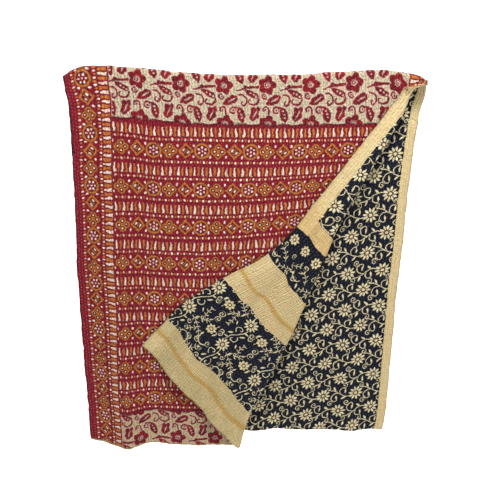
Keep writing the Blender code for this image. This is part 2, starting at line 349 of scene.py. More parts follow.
# The red side's print leans: 15 mm to the right at the crest, and 13 mm to the left at the front hem
lean = 0.013 * smoothStep((drop - 0.72) / 0.40) - 0.015 * (1 - smoothStep(np.abs(drop) / 0.17))
fromLeft = fromLeft + lean * smoothStep((fromLeft - 0.05) / 0.09)
fromRight = length - across
dropGrid = np.broadcast_to(drop, across.shape)
redCloth = makeCloth("red_cloth_sheet", middleSurface, np.stack((fromLeft, dropGrid), 2), 1)
blackCloth = makeCloth("black_cloth_sheet", middleSurface, np.stack((-fromRight, dropGrid), 2), -1)
print("triangles", [sum(len(p.vertices) - 2 for p in o.data.polygons) for o in (redCloth, blackCloth)])


def plainMaterial(name, colour, roughness):
    material = bpy.data.materials.new(name)
    material.use_nodes = True
    shader = material.node_tree.nodes["Principled BSDF"]
    shader.inputs["Base Color"].default_value = (*colour, 1)
    shader.inputs["Roughness"].default_value = roughness
    return material


# A shader value or vector. Arithmetic on it adds Math nodes, and make adds any other node
class Wire:
    def __init__(self, tree, socket):
        self.tree, self.socket = tree, socket

    def make(self, kind, settings=None, sockets=None, output=0):
        node = self.tree.nodes.new(kind)
        for name, value in (settings or {}).items():
            setattr(node, name, value)
        for key, value in (sockets or {}).items():
            if isinstance(value, Wire):
                self.tree.links.new(value.socket, node.inputs[key])
            else:
                node.inputs[key].default_value = value
        return Wire(self.tree, node.outputs[output])

    def math(self, operation, first, second=0.0):
        return self.make("ShaderNodeMath", {"operation": operation}, {0: first, 1: second})

    def __add__(self, other):
        return self.math("ADD", self, other)

    def __sub__(self, other):
        return self.math("SUBTRACT", self, other)

    def __rsub__(self, other):
        return self.math("SUBTRACT", other, self)

    def __mul__(self, other):
        return self.math("MULTIPLY", self, other)

    def __truediv__(self, other):
        return self.math("DIVIDE", self, other)

    __radd__, __rmul__ = __add__, __mul__

    def vector(self, operation, *others, output=0):
        sockets = {0: self}
        sockets.update({place + 1: value for place, value in enumerate(others)})
        return self.make("ShaderNodeVectorMath", {"operation": operation}, sockets, output)

    def size(self):
        return self.vector("LENGTH", output="Value")

    def scaled(self, amount):
        return self.make("ShaderNodeVectorMath", {"operation": "SCALE"}, {0: self, "Scale": amount})

    def parts(self):
        split = self.make("ShaderNodeSeparateXYZ", None, {0: self})
        return split, Wire(self.tree, split.socket.node.outputs[1])

    def least(self, other):
        return self.math("MINIMUM", self, other)

    def most(self, other):
        return self.math("MAXIMUM", self, other)

    def bare(self):
        return self.math("ABSOLUTE", self)

    # 1 where the value is below reach and 0 above it, over a soft step
    def under(self, reach, soft=0.05):
        sockets = {0: self, 1: reach + soft, 2: reach - soft, 3: 0.0, 4: 1.0}
        return self.make("ShaderNodeMapRange", None, sockets)

    # 0 at each multiple of twice half, rising evenly to half between two of them
    def zigzag(self, half):
        return self.math("PINGPONG", self, half)

    def floor(self):
        return self.math("FLOOR", self)

    def fraction(self):
        return self.math("FRACT", self)

    def modulo(self, size):
        return self.math("FLOORED_MODULO", self, size)

    def sine(self):
        return self.math("SINE", self)

    def cosine(self):
        return self.math("COSINE", self)

    # The angle in radians of a point whose x is this value
    def angle(self, y):
        return self.math("ARCTAN2", y, self)

    # A vector of this value and another, for x and y
    def joined(self, y):
        return self.make("ShaderNodeCombineXYZ", None, {0: self, 1: y})

    def blend(self, other, share):
        return self.make("ShaderNodeMix", {"data_type": "FLOAT"}, {0: share, 2: self, 3: other})

    def paint(self, colour, share):
        if not isinstance(colour, Wire):
            colour = (*colour, 1.0)
        return self.make("ShaderNodeMix", {"data_type": "RGBA"}, {0: share, 6: self, 7: colour}, output=2)

    # One colour, given from 0 to 255, to paint over
    def flat(self, colour):
        even = self.make("ShaderNodeRGB")
        even.socket.default_value = (*tone(*colour), 1)
        return even

    def noise(self, scale, detail=2.0, output=0):
        sockets = {"Vector": self, "Scale": scale, "Detail": detail, "Roughness": 0.5}
        return self.make("ShaderNodeTexNoise", {"noise_dimensions": "2D"}, sockets, output)


# Each shape below gives how far a point lies outside it, in the pattern's centimetres, and below 0 inside.
# around repeats a shape: the point's place in a cell of width by height round (x, y)
def around(p, x, y, width, height=400.0):
    moved = p.vector("SUBTRACT", (x, y, 0))
    return moved.vector("WRAP", (width / 2, height / 2, 1), (-width / 2, -height / 2, -1))


def framed(p, x, y, turn, width=1.0, height=1.0):
    sockets = {"Vector": p, "Location": (x, y, 0), "Scale": (width, height, 1)}
    sockets["Rotation"] = (0, 0, math.radians(turn))
    return p.make("ShaderNodeMapping", {"vector_type": "TEXTURE"}, sockets)


# Distance from the middle, over the half sizes
def oval(p, x, y, halfWidth, halfHeight, turn=0.0):
    return (framed(p, x, y, turn, halfWidth, halfHeight).size() - 1) * min(halfWidth, halfHeight)


# A lens with two pointed ends: x squared plus the size of y, over the half sizes
def leaf(p, x, y, halfLength, halfWidth, turn=0.0):
    along, beside = framed(p, x, y, turn, halfLength, halfWidth).parts()
    return (along * along + beside.bare() - 1) * (halfWidth * 0.8)


# Distance from a straight stroke
def stroke(p, x, y, endX, endY, width):
    length, turn = math.hypot(endX - x, endY - y), math.degrees(math.atan2(endY - y, endX - x))
    inFrame = framed(p, x, y, turn)
    nearest = inFrame.vector("MINIMUM", (length, 0, 0)).vector("MAXIMUM", (0, 0, 0))
    return inFrame.vector("DISTANCE", nearest, output="Value") - width / 2


# Part of a ring: its middle lies at turn and it reaches halfSpan to both sides
def arc(p, x, y, radius, width, turn=0.0, halfSpan=180.0):
    inFrame = framed(p, x, y, turn)
    gap = (inFrame.size() - radius).bare() - width / 2
    if halfSpan >= 180:
        return gap
    return gap.most(radius * math.cos(math.radians(halfSpan)) - inFrame.parts()[0])


# A spiral line, where the radius over pitch less the angle in turns is a whole number
def spiral(p, x, y, reach, pitch, width, turn=0.0, handed=1):
    inFrame = framed(p, x, y, turn, 1.0, handed)
    radius = inFrame.size()
    along, beside = inFrame.parts()
    turned = along.angle(beside) / math.tau
    line = (radius / pitch - turned).zigzag(0.5) * pitch - width / 2
    return line.most(radius - reach)


# Petals from near to far: lenses, or ovals where rounded, with the angle folded to the nearest petal's middle
def petals(p, x, y, count, near, far, halfWidth, turn=0.0, rounded=False):
    inFrame = framed(p, x, y, turn)
    radius = inFrame.size()
    along, beside = inFrame.parts()
    turned = (along.angle(beside) * (count / math.tau)).zigzag(0.5) * (math.tau / count)
    off = (turned.sine() * radius) / halfWidth
    run = (radius - (near + far) / 2) / ((far - near) / 2)
    if rounded:
        return (run * run + off * off - 1) * (halfWidth * 0.5)
    return (run * run + off - 1) * (halfWidth * 0.7)


# A material with its shader, and the cloth's flat coordinates in centimetres
def startMaterial(name, roughness, sheen):
    material = bpy.data.materials.new(name)
    material.use_nodes = True
    tree = material.node_tree
    shader = tree.nodes["Principled BSDF"]
    shader.inputs["Roughness"].default_value = roughness
    shader.inputs["Sheen Weight"].default_value = sheen
    shader.inputs["Sheen Roughness"].default_value = 0.6
    shader.inputs["Specular IOR Level"].default_value = 0.12
    plan = Wire(tree, None).make("ShaderNodeUVMap", {"uv_map": "flatCloth"})
    return material, shader, plan.scaled(100.0)


def finishMaterial(shader, colour, height):
    tree = colour.tree
    tree.links.new(colour.socket, shader.inputs["Base Color"])
    sockets = {"Strength": 1.0, "Distance": creases["puckers"], "Height": height}
    bump = height.make("ShaderNodeBump", None, sockets)
    tree.links.new(bump.socket, shader.inputs["Normal"])


# A colour given from 0 to 255, as the linear one that shaders take
def tone(*colour):
    return tuple(((v / 255 + 0.055) / 1.055) ** 2.4 if v > 10 else v / 255 / 12.92 for v in colour)


redSide = {
    "crimson": (144, 19, 38),
    "deepCrimson": (72, 8, 23),
    "orange": (178, 101, 34),
    "paleOrange": (202, 130, 58),
    "white": (255, 228, 216),
    "bar": (242, 216, 196),
    "stripGround": (206, 193, 164),
    "stripFleck": (146, 142, 100),
    "stripLow": (202, 178, 134),
    "stripHalo": (228, 198, 182),
    "motif": (134, 20, 32),
    "reverseHem": (172, 156, 98),
    "stitch": (214, 138, 130),
    "overcast": (54, 8, 18),
    # Sizes in centimetres
    "borderWidth": 12.5,
    "plainEdge": 2.2,
    "rowsFrom": 16.1,  # first row of bars below the crest
    "rowPitch": 12.05,
    "rowMiddle": 7.2,  # of the medallions, below the row's first bars
    "borderMiddle": 5.85,
    "medallion": 4.93,  # cell in the rows
    "borderMedallion": 5.29,
    "dotPitch": 0.965,
    "borderDotPitch": 0.985,
    "barPitch": 2.46,
    "borderBarPitch": 2.62,
    "stripTile": (12.85, 11.3),
    "rowGap": 0.95,  # between rows of running stitch
}


def paintRedSide():
    look = redSide
    material, shader, plan = startMaterial("red_printed_cotton", 0.9, 0.05)
    waver = plan.noise(0.85, 2.0, "Color").vector("SUBTRACT", (0.5, 0.5, 0.5)).scaled(0.6)
    p = plan.vector("ADD", waver).vector("MULTIPLY", (1, 1, 0))
    fine = plan.noise(4.0, 3.0)
    grain = plan.noise(2.4, 2.0)
    coarse = plan.noise(0.35, 3.0)
    s, t = p.parts()
    sagging = t - (s - 24.0).bare().under(6.0, 6.0) * (t - 30.0).under(0.0, 12.0).blend(0.9, 0.6)
    colour = fine.flat(look["crimson"])
    colour = colour.paint(tone(*look["deepCrimson"]), plan.noise(1.3, 3.0).under(0.47, 0.13) * 0.6)

    # Borders run down both sides: from the outer edge, their own coordinates swap with those of the rows
    fromEdge = s.least(112.0 - s + t.bare().under(8.0, 8.0) * 2.2)
    border = fromEdge.under(look["borderWidth"], 0.08)
    inBorder = fromEdge.under(look["borderWidth"], 0.01)
    behind = t.under(2.0, 0.01)
    rowAt = sagging - look["rowsFrom"] + behind * (look["rowPitch"] * 10.3)
    across = (rowAt / look["rowPitch"]).fraction() * look["rowPitch"]
    rowOff = across - look["rowMiddle"]
    borderOff = fromEdge - look["borderMiddle"]
    along = (s - 15.0) / look["medallion"] + 0.5
    borderAlong = (19.7 - t) / look["borderMedallion"] + 2.5
    cellRun = along.blend(borderAlong, inBorder)
    off = (rowOff / look["medallion"]).blend(borderOff / (look["borderMedallion"] * 0.88), inBorder)
    kind = cellRun.floor().modulo(3.0)
    run = cellRun.fraction() - 0.5
    q = run.joined(off)
    isQuatre = kind.under(0.5, 0.01)
    isCircle = kind.math("GREATER_THAN", kind, 1.5)

    # Medallions in their cells: orange, dark and white parts of the four-lobed one, the lozenge and the ring
    foldX, foldY = q.vector("ABSOLUTE").parts()
    lobeX, lobeY = foldX.most(foldY), foldX.least(foldY)
    lobe = (lobeX - 0.235).joined(lobeY).size()
    quatreOrange = lobe - 0.225
    quatreDark = (lobe - 0.10).bare() - 0.035
    lozenge = foldX * 1.06 + foldY
    seeds = oval(q, -0.14, -0.06, 0.095, 0.05, -48).least(oval(q, 0.13, 0.07, 0.10, 0.05, -48))
    slash = stroke(q, -0.10, 0.13, 0.10, -0.13, 0.055)
    lozengeOrange = ((lozenge - 0.42).bare() - 0.09).least(slash)
    lozengeDark = ((lozenge - 0.31).bare() - 0.025).least((seeds - 0.03).bare() - 0.02)
    ring = q.size()
    ringOrange = (ring - 0.425).bare() - 0.07
    ringDark = (ring - 0.335).bare() - 0.03
    ringWhite = petals(q, 0, 0, 6, 0.165, 0.305, 0.055, 30, True).least(ring - 0.05)
    orangeGap = lozengeOrange.blend(quatreOrange, isQuatre).blend(ringOrange, isCircle)
    darkGap = lozengeDark.blend(quatreDark, isQuatre).blend(ringDark, isCircle)
    whiteGap = seeds.blend(lobe - 0.045, isQuatre).blend(ringWhite, isCircle)
    corner = ((0.5 - foldX) * 1.5).joined(foldY - 0.34).size() - 0.085
    whiteGap = whiteGap.least(corner)
    inMedallion = off.bare().under(0.56, 0.01)
    outline = (orangeGap - 0.035).under(0.0, 0.03) * inMedallion

    # Dots and bars beside the medallions
    borderDotRun = (t - 17.7) / look["borderDotPitch"] + 0.5
    dotRun = ((s - 13.3) / look["dotPitch"] + 0.5).blend(borderDotRun, inBorder)
    dotOdd = dotRun.floor().modulo(2.0)
    dotX = (dotRun.fraction() - 0.5) * 0.98
    rowDots = (rowOff.bare() - 3.4).bare()
    borderDots = (fromEdge - 9.0).bare().least((fromEdge - 3.0).bare())
    dotY = (rowDots + t.under(16.0, 0.01) * (1 - behind) * 2).blend(borderDots, inBorder)
    dot = (dotX / 0.27).joined(dotY / 0.36).size() - 1
    barRun = ((s - 13.1) / look["barPitch"] + 0.5).blend((t - 18.4) / look["borderBarPitch"] + 0.5, inBorder)
    barAt = (across / 2.85).blend((fromEdge - 9.7) / 2.35, inBorder)
    sway = (barAt * 6.0 + barRun.floor() * 2.1).sine() * 0.035
    barX = (barRun.fraction() - 0.5 + sway).bare()
    barHalf = 0.045 + barAt * 0.10 + (barAt * 3.4 - 0.2).sine() * 0.025 + inBorder * 0.03
    barEnd = (barAt - 0.5).bare() - 0.47
    bar = (barX - barHalf).most(barEnd * 0.8)
    orangeBar = ((0.5 - barX) - 0.11 - inBorder * 0.045).most(barEnd * 0.8)
    thinLines = (fromEdge - 12.25).bare().least((fromEdge - 9.45).bare())
    thinLines = thinLines.least((fromEdge - 8.35).bare()) - 0.12
    thinLines = thinLines.least((rowOff.bare() - 4.15).bare() - 0.14 + inBorder * 4)
    thinLines = thinLines.least((rowOff.bare() - 2.75).bare() - 0.10 + inBorder * 4)

    rough = (fine - 0.5) * 0.15
    medOrange = (orangeGap + rough).under(0.0, 0.03) * inMedallion
    orange = medOrange.most((dot + rough * 4).under(0.0, 0.25) * dotOdd * 0.9)
    orange = orange.most((orangeBar + rough * 1.3).under(0.0, 0.04))
    dark = (darkGap + rough * 0.4).under(0.0, 0.02) * inMedallion
    white = (whiteGap + rough * 0.4).under(0.0, 0.022) * inMedallion
    white = white.most((dot + rough * 4).under(0.0, 0.25) * (1 - dotOdd))
    barWhite = (bar + rough * 0.8).under(0.0, 0.035)
    shadow = (bar - 0.07).under(0.0, 0.05)
    open = 1 - fromEdge.under(look["plainEdge"], 0.06)
    lineShade = thinLines.under(0.0, 0.06) * open * (0.3 + inBorder * 0.3)
    colour = colour.paint(tone(*look["deepCrimson"]), lineShade)
    colour = colour.paint(tone(*look["deepCrimson"]), (shadow * open) * 0.42)
    pale = plan.noise(2.1, 2.0).under(0.5, 0.12)
    ochre = colour.flat(look["orange"]).paint(tone(*look["paleOrange"]), pale)
    ochre = ochre.paint(tone(*look["crimson"]), fine.under(0.44, 0.08) * 0.28)
    colour = colour.paint(tone(*look["deepCrimson"]), outline * open * 0.75)
    colour = colour.paint(ochre, orange * open)
    colour = colour.paint(tone(*look["deepCrimson"]), dark * open)
    colour = colour.paint(tone(*look["white"]), white * open * 0.95)
    colour = colour.paint(tone(*look["bar"]), barWhite * open * 0.94)

    # Paisley strips over the crest and along both hems, printed the same way up
    lowStrip = 1 - t.under(60.0, 0.01)
    backStrip = t.under(-60.0, 0.01)
    tile = (s - 20.85 + lowStrip * 1.55).joined(t - 3.6 - lowStrip * 6.1 + backStrip * 5.0)

    def at(x, y):
        return around(tile, x, y, *look["stripTile"])

    here = at(0, 0)
    gap = petals(here, 0, 0, 5, 0.75, 2.8, 1.12, -3, True).least(oval(here, 0, 0, 1.35, 1.3))
    hollow = oval(here, 0, 0, 0.95, 0.85).most(0.0 - spiral(here, 0, 0, 0.8, 0.62, 0.28, 200))
    here = at(7.1, 0.5)
    gap = gap.least(stroke(here, -3.2, 0.95, -1.6, 0.45, 0.42))
    gap = gap.least(stroke(here, -1.6, 0.45, 0.5, -0.1, 0.7))
    gap = gap.least(stroke(here, 0.2, 0.05, 3.0, -0.15, 0.75)).least(oval(here, -0.7, -0.15, 0.6, 0.5))
    here = at(8.5, 3.0)
    gap = gap.least(leaf(here, -0.45, -0.6, 2.4, 0.9, 30)).least(oval(here, 0.8, -0.05, 0.95, 0.8, 30))
    gap = gap.least(arc(here, -0.1, 0.95, 1.65, 0.6, 62, 70))
    gap = gap.least(arc(here, -0.85, 1.8, 0.65, 0.44, 200, 75))
    seedDots = oval(here, -0.75, -0.85, 0.28, 0.24).least(oval(here, 0.15, -0.35, 0.3, 0.26))
    seedDots = seedDots.least(oval(here, 0.95, 0.25, 0.3, 0.28))
    here = at(5.2, 4.2)
    gap = gap.least(arc(here, -0.3, 0.1, 1.6, 0.5, -18, 92))
    gap = gap.least(arc(here, 0.25, 1.1, 0.62, 0.46, 170, 92))
    here = at(-1.0, 3.2)
    gap = gap.least(arc(here, 0, 0, 0.72, 0.42, 150, 150)).least(oval(here, 0.05, 0.0, 0.24, 0.24))
    here = at(1.75, 4.3)
    gap = gap.least(leaf(here, -0.4, 0.2, 2.4, 1.1, -27)).least(oval(here, 0.7, -0.4, 1.5, 1.15, -27))
    hollow = hollow.least(leaf(here, 0.3, -0.1, 1.45, 0.24, -30))
    here = at(-4.1, 8.3)
    gap = gap.least(oval(here, -0.1, 0.2, 1.2, 2.0, 14)).least(oval(here, -0.5, -1.2, 0.75, 0.85))
    gap = gap.least(oval(here, 0.95, -1.4, 0.6, 0.8))
    gap = gap.least(oval(here, -0.7, 0.9, 0.9, 0.8))
    gap = gap.least(oval(here, 0.6, 0.6, 0.85, 0.8))
    hollow = hollow.least(leaf(here, 0.05, 0.15, 1.45, 0.2, 112))
    here = at(-0.8, 7.1)
    gap = gap.least(arc(here, 0, 0, 0.85, 0.48, -110, 110))
    gap = gap.least(stroke(here, 0.85, -0.05, 1.0, 1.2, 0.46))
    gap = gap.least(oval(here, -0.1, 0.1, 0.28, 0.28))
    here = at(2.3, 7.2)
    gap = gap.least(arc(here, 0, 0, 0.9, 0.46, 190, 145)).least(stroke(here, 0.0, -0.9, 1.9, -0.6, 0.6))
    gap = gap.least(oval(here, 0.1, 0.0, 0.27, 0.27))
    here = at(4.6, 8.4)
    gap = gap.least(leaf(here, 0.15, 0.25, 2.4, 1.2, 74)).least(oval(here, -0.25, -0.85, 1.05, 1.0, 30))
    seedDots = seedDots.least(oval(here, -0.3, -0.9, 0.28, 0.28)).least(oval(here, 0.1, 0.05, 0.3, 0.3))
    seedDots = seedDots.least(oval(here, 0.45, 1.0, 0.26, 0.28))
    gap = gap.most(0.0 - hollow)
    gap = gap.most(0.0 - seedDots)
    ragged = (fine - 0.5) * 0.5 - 0.05
    strip = colour.flat(look["stripGround"]).paint(tone(*look["stripLow"]), lowStrip * 0.9)
    strip = strip.paint(tone(*look["stripFleck"]), (1 - plan.noise(2.2, 3.0)).under(0.46, 0.05) * 0.8)
    strip = strip.paint(tone(*look["stripHalo"]), (gap - 0.22).under(0.0, 0.2) * 0.8)
    printed = colour.flat(look["motif"]).paint(tone(*look["deepCrimson"]), coarse.under(0.52, 0.1) * 0.55)
    strip = strip.paint(printed, (gap + ragged).under(0.0, 0.12))
    scallop = (s * (math.tau / 6.42)).cosine() * 0.3
    overCrest = (t + scallop - 1.75).bare() - 13.4
    hems = (112.6 - t - scallop).least(t + 109.2)
    inStrip = overCrest.least(hems).under(0.0, 0.06) * (1 - border)
    colour = colour.paint(strip, inStrip)
    edgeLine = (overCrest.least(hems).bare() - 0.3).under(0.0, 0.08) * (1 - border)
    colour = colour.paint(tone(*look["deepCrimson"]), edgeLine * 0.7)
    paleLine = ((fromEdge - look["borderWidth"] - 0.1).bare() - 0.12).under(0.0, 0.06)
    colour = colour.paint(tone(*look["stitch"]), paleLine * inStrip * 0.8)

    # Rows of running stitch down the cloth, overcast edges, and a line of the reverse along the front hem
    stitchRow = s / look["rowGap"]
    rowMiddle = stitchRow.zigzag(0.5)
    dashRun = t / 1.1 + (stitchRow + 0.5).floor() * 0.37
    dash = (dashRun.fraction() - 0.5).bare().under(0.24, 0.06) * rowMiddle.under(0.085, 0.03)
    # Painted shade: the cloth is darkened along each row of stitching, where it dips between the puffed
    # strips
    colour = colour.paint(tone(*look["deepCrimson"]), rowMiddle.under(0.12, 0.1) * 0.22)
    colour = colour.paint(tone(*look["stitch"]), dash * (0.62 - open * 0.36))
    notch = (t / 1.9).zigzag(0.5).under(0.14, 0.08) * fromEdge.under(0.55, 0.15)
    colour = colour.paint(tone(*look["overcast"]), notch * 0.85)
    uneven = plan.noise(0.22, 2.0) * 1.2
    colour = colour.paint(tone(*look["reverseHem"]), 0.85 * (125.62 - t - uneven).under(0.0, 0.12))
    colour = colour.scaled(0.72 + grain * 0.56)

    puckers = plan.vector("MULTIPLY", (0.75, 1.15, 0)).noise(1.0, 2.0)
    height = rowMiddle * 0.8 + puckers * 1.3 + plan.noise(9.0, 1.0) * 0.2 - dash * 0.35
    finishMaterial(shader, colour, height)
    return material


blackSide = {
    "ground": (15, 16, 26),
    "groundLight": (36, 38, 54),
    "cream": (238, 228, 186),
    "creamPink": (226, 208, 164),
    "band": (236, 214, 162),
    "bandPink": (220, 188, 134),
    "bandGreen": (196, 184, 134),
    "bandGold": (214, 170, 96),
    "rib": (146, 118, 70),
    "ochre": (202, 156, 62),
    "smallFlower": (228, 210, 164),
    "heart": (232, 206, 164),
    "heartRing": (20, 16, 20),
    "stitch": (92, 98, 126),
    "bandStitch": (236, 222, 186),
    "stripWidth": 2.9,  # behind; 1.2 more on the flap
    "stitchGap": 0.95,
    "cell": 11.1,  # of the flowered ground, along and down
    "rise": 6.27,
    "endCell": 16.9,  # the same between the bands
    "endRise": 11.9,
    "narrowCell": 10.4,
    "bands": ((53.5, 58.8), (71.9, 87.9), (112.7, 131.0)),
}


# A fern: a stem of halfLength along x, bent by bend, with pairs of leaflets that lean forward
def fern(p, x, y, halfLength, turn, bend=0.0):
    along, beside = framed(p, x, y, turn).parts()
    off = (beside - along * along * bend).bare()
    stem = off - 0.08
    swollen = (off - 0.5) * (off - 0.5)
    leaflets = (along - off * 0.65).zigzag(0.75) * 0.85 + swollen * 0.7 - 0.145
    return stem.least(leaflets).most(along.bare() - halfLength)


def paintBlackSide():
    look = blackSide
    material, shader, plan = startMaterial("black_printed_cotton", 0.9, 0.02)
    waver = plan.noise(0.8, 2.0, "Color").vector("SUBTRACT", (0.5, 0.5, 0.5)).scaled(0.5)
    p = plan.vector("ADD", waver).vector("MULTIPLY", (1, 1, 0))
    fine = plan.noise(5.0, 3.0)
    grain = plan.noise(2.6, 2.0)
    x, y = p.parts()
    fromEdge = 0.0 - x

    # The flowered ground: every second row of daisies is set half a cell along and turned upside down, and
    # the rows rise to the right
    cell, rise = look["cell"], look["rise"]
    level = y + y.most(0.0) * 0.085 - x * 0.145
    rowRun = (level - 0.76) / rise
    row = (rowRun + 0.5).floor()
    odd = row.modulo(2.0)
    inRow = (rowRun - row) * rise
    shifted = x + odd * (cell / 2) + 5.5
    local = shifted.joined(inRow * (1 - odd * 2))

    def at(x, y):
        return around(local, x, y, cell)

    here = at(0, 0)
    gap = petals(here, 0, 0, 10, 0.8, 2.5, 0.35, 8)
    heart = oval(here, 0, 0, 0.52, 0.52)
    here = at(5.6, 0)
    stemX, stemY = here.parts()
    bow = (stemX + 3.2) * (math.pi / 5.8)
    stem = (stemY + 0.57 + bow.cosine() * 1.27).bare() * 0.85 - 0.115
    gap = gap.least(stem.most(stemX.bare() - 3.8))
    gap = gap.least(leaf(here, -1.65, -2.25, 0.95, 0.30, 62)).least(leaf(here, 1.3, 1.25, 0.9, 0.31, 140))
    here = at(4.4, 1.3)
    gap = gap.least(arc(here, 0.45, 0.15, 2.05, 0.23, 212, 63))
    gap = gap.least(arc(here, -0.35, 0.65, 0.75, 0.23, 90, 90))
    gap = gap.least(leaf(here, 0.2, -0.1, 0.9, 0.30, 80))
    here = at(6.9, -1.3)
    gap = gap.least(arc(here, 0.05, 0.05, 1.2, 0.23, 225, 85))
    gap = gap.least(leaf(here, 0.65, 0.0, 0.85, 0.28, 96))
    for spiralX, spiralY, reach, turn, handed in (
        (2.5, 3.2, 0.95, 200, 1),
        (8.15, 2.95, 0.95, 200, -1),
        (7.4, -3.5, 0.85, 20, 1),
        (1.75, -2.65, 0.85, 20, -1),
    ):
        gap = gap.least(spiral(at(spiralX, spiralY), 0, 0, reach, 0.72, 0.22, turn, handed))

    # Between the end bands: wider repeats with small round flowers, ferns and curls
    endRun = (y - 91.8) / look["endRise"]
    endRow = (endRun + 0.5).floor()
    turned = 1 - endRow.modulo(2.0) * 2
    endX, endY = (x + 1.9) * turned, (endRun - endRow) * look["endRise"] * turned
    endLocal = endX.joined(endY)

    def inEnd(x, y):
        return around(endLocal, x, y, look["endCell"])

    here = inEnd(0, 0)
    endGap = petals(here, 0, 0, 11, 0.8, 2.5, 0.34, 4)
    endHeart = oval(here, 0, 0, 0.52, 0.52)
    stemX, stemY = here.parts()
    bow = stemY * (math.tau / look["endRise"])
    stem = (stemX + bow.sine() * 1.2).bare() * 0.85 - 0.12
    endGap = endGap.least(stem.most(2.1 - stemY.bare()))
    for side in (1, -1):
        here = framed(inEnd(0, 0), 0, 0, 0, side, side)
        endGap = endGap.least(arc(here, 0.75, 4.3, 1.15, 0.24, -40, 118))
        endGap = endGap.least(arc(here, 0.4, 3.75, 0.5, 0.22, 200, 90))
        endGap = endGap.least(leaf(here, -2.0, 5.0, 0.95, 0.3, 50))
        endGap = endGap.least(leaf(here, -1.9, 3.2, 0.8, 0.23, 10))
        endGap = endGap.least(spiral(here, -3.7, 3.1, 0.9, 0.72, 0.23, 100))
        endGap = endGap.least(leaf(here, 4.4, -0.1, 0.9, 0.28, 65))
    here = inEnd(-6.7, 0.9)
    flower = petals(here, 0, 0, 8, 0.7, 1.8, 0.42, 10, True)
    endHeart = endHeart.least(oval(here, 0, 0, 0.42, 0.42))
    endGap = endGap.least(arc(here, 2.3, 1.6, 1.5, 0.25, 215, 70))
    endGap = endGap.least(spiral(here, 3.3, 1.0, 0.95, 0.75, 0.23, 40))
    endGap = endGap.least(spiral(here, -1.4, 4.0, 1.15, 0.8, 0.24, 90))
    endGap = endGap.least(leaf(here, -2.6, 2.0, 0.8, 0.24, 60))
    here = inEnd(7.0, -2.3)
    endGap = endGap.least(fern(here, -0.3, 0.1, 3.9, -27, -0.04))
    endGap = endGap.least(spiral(here, 2.9, -2.9, 1.1, 0.78, 0.24, 270, -1))
    endGap = endGap.least(fern(here, -1.2, -2.0, 1.6, 235, 0.12))
    endGap = endGap.least(spiral(here, -2.7, -3.2, 0.85, 0.75, 0.23, 20))
    here = inEnd(5.3, 3.6)
    endGap = endGap.least(fern(here, -0.3, 0.2, 2.1, 100, -0.12))
    endGap = endGap.least(fern(here, 1.6, -2.2, 1.5, 40, -0.15))
    endGap = endGap.least(spiral(inEnd(-3.4, -3.6), 0, 0, 0.95, 0.75, 0.23, 200))
    endGap = endGap.least(leaf(here, -1.9, -0.6, 0.8, 0.23, 130))
    endGap = endGap.least(arc(inEnd(-5.5, -3.4), 0, 0, 1.9, 0.25, 250, 75))
    endGap = endGap.least(leaf(inEnd(-7.4, -2.6), 0, 0, 0.8, 0.23, 80))
    endGap = endGap.least(spiral(inEnd(5.6, 1.1), 0, 0, 0.85, 0.7, 0.24, 300))
    narrow = around(p, -2.4, 62.0, look["narrowCell"] / 2)
    narrowFlower = petals(narrow, 0, 0, 8, 0.7, 1.75, 0.42, 10, True)
    narrowHeart = oval(narrow, 0, 0, 0.42, 0.42)
    narrow = around(p, -2.6, 67.4, look["narrowCell"])
    narrowGap = fern(narrow, -1.0, -0.4, 2.3, -28, 0.14).least(fern(narrow, 3.9, -0.3, 2.2, 215, 0.15))
    narrowGap = narrowGap.least(spiral(narrow, 1.4, 2.6, 1.0, 0.76, 0.24, 90))
    narrowGap = narrowGap.least(arc(narrow, 1.2, 0.6, 1.9, 0.25, 80, 70))
    narrowGap = narrowGap.least(fern(narrow, -3.9, 2.7, 2.0, 20, 0.12))
    narrowGap = narrowGap.least(spiral(narrow, -3.6, -2.0, 0.9, 0.74, 0.23, 10))
    narrowGap = narrowGap.least(fern(narrow, 4.6, 3.0, 1.8, 80, 0.1))
    narrowGap = narrowGap.least(spiral(narrow, 1.3, -2.4, 0.8, 0.72, 0.23, 200, -1))
    narrowGap = narrowGap.least(leaf(narrow, -0.9, 3.4, 0.9, 0.23, 120))
    narrowGap = narrowGap.least(leaf(narrow, 3.1, 1.7, 0.8, 0.23, 20))
    inNarrow = (y - 65.3).bare().under(7.0, 0.01)
    inEnds = 1 - y.under(56.0, 0.01)
    gap = gap.blend(endGap.blend(narrowGap, inNarrow), inEnds)
    heart = heart.blend(endHeart.blend(narrowHeart, inNarrow), inEnds)
    flower = flower.blend(narrowFlower, inNarrow) + (1 - inEnds) * 5

    ground = plan.noise(1.6, 3.0).under(0.5, 0.14)
    colour = fine.flat(look["ground"]).paint(tone(*look["groundLight"]), ground * 0.4)
    stitchRow = x / look["stitchGap"]
    rowMiddle = stitchRow.zigzag(0.5)
    rowNumber = (stitchRow + 0.5).floor()
    dashRun = y / 1.15 + rowNumber * 0.37
    dash = (dashRun.fraction() - 0.5).bare().under(0.25, 0.05) * rowMiddle.under(0.10, 0.03)
    colour = colour.paint(tone(*look["stitch"]), dash * 0.45)
    colour = colour.paint(tone(*look["heartRing"]), (heart - 0.3).under(0.0, 0.08))
    ragged = (fine - 0.5) * 0.18
    cream = colour.flat(look["cream"]).paint(tone(*look["creamPink"]), plan.noise(0.9, 2.0).under(0.5, 0.1))
    colour = colour.paint(cream, (gap + ragged).under(0.0, 0.055) * 0.97)
    colour = colour.paint(tone(*look["heartRing"]), (flower - 0.3).under(0.0, 0.06))
    colour = colour.paint(tone(*look["smallFlower"]), (flower + ragged).under(0.0, 0.055) * 0.95)
    colour = colour.paint(tone(*look["heartRing"]), (heart - 0.2).under(0.0, 0.06))
    colour = colour.paint(tone(*look["heart"]), heart.under(0.0, 0.06))

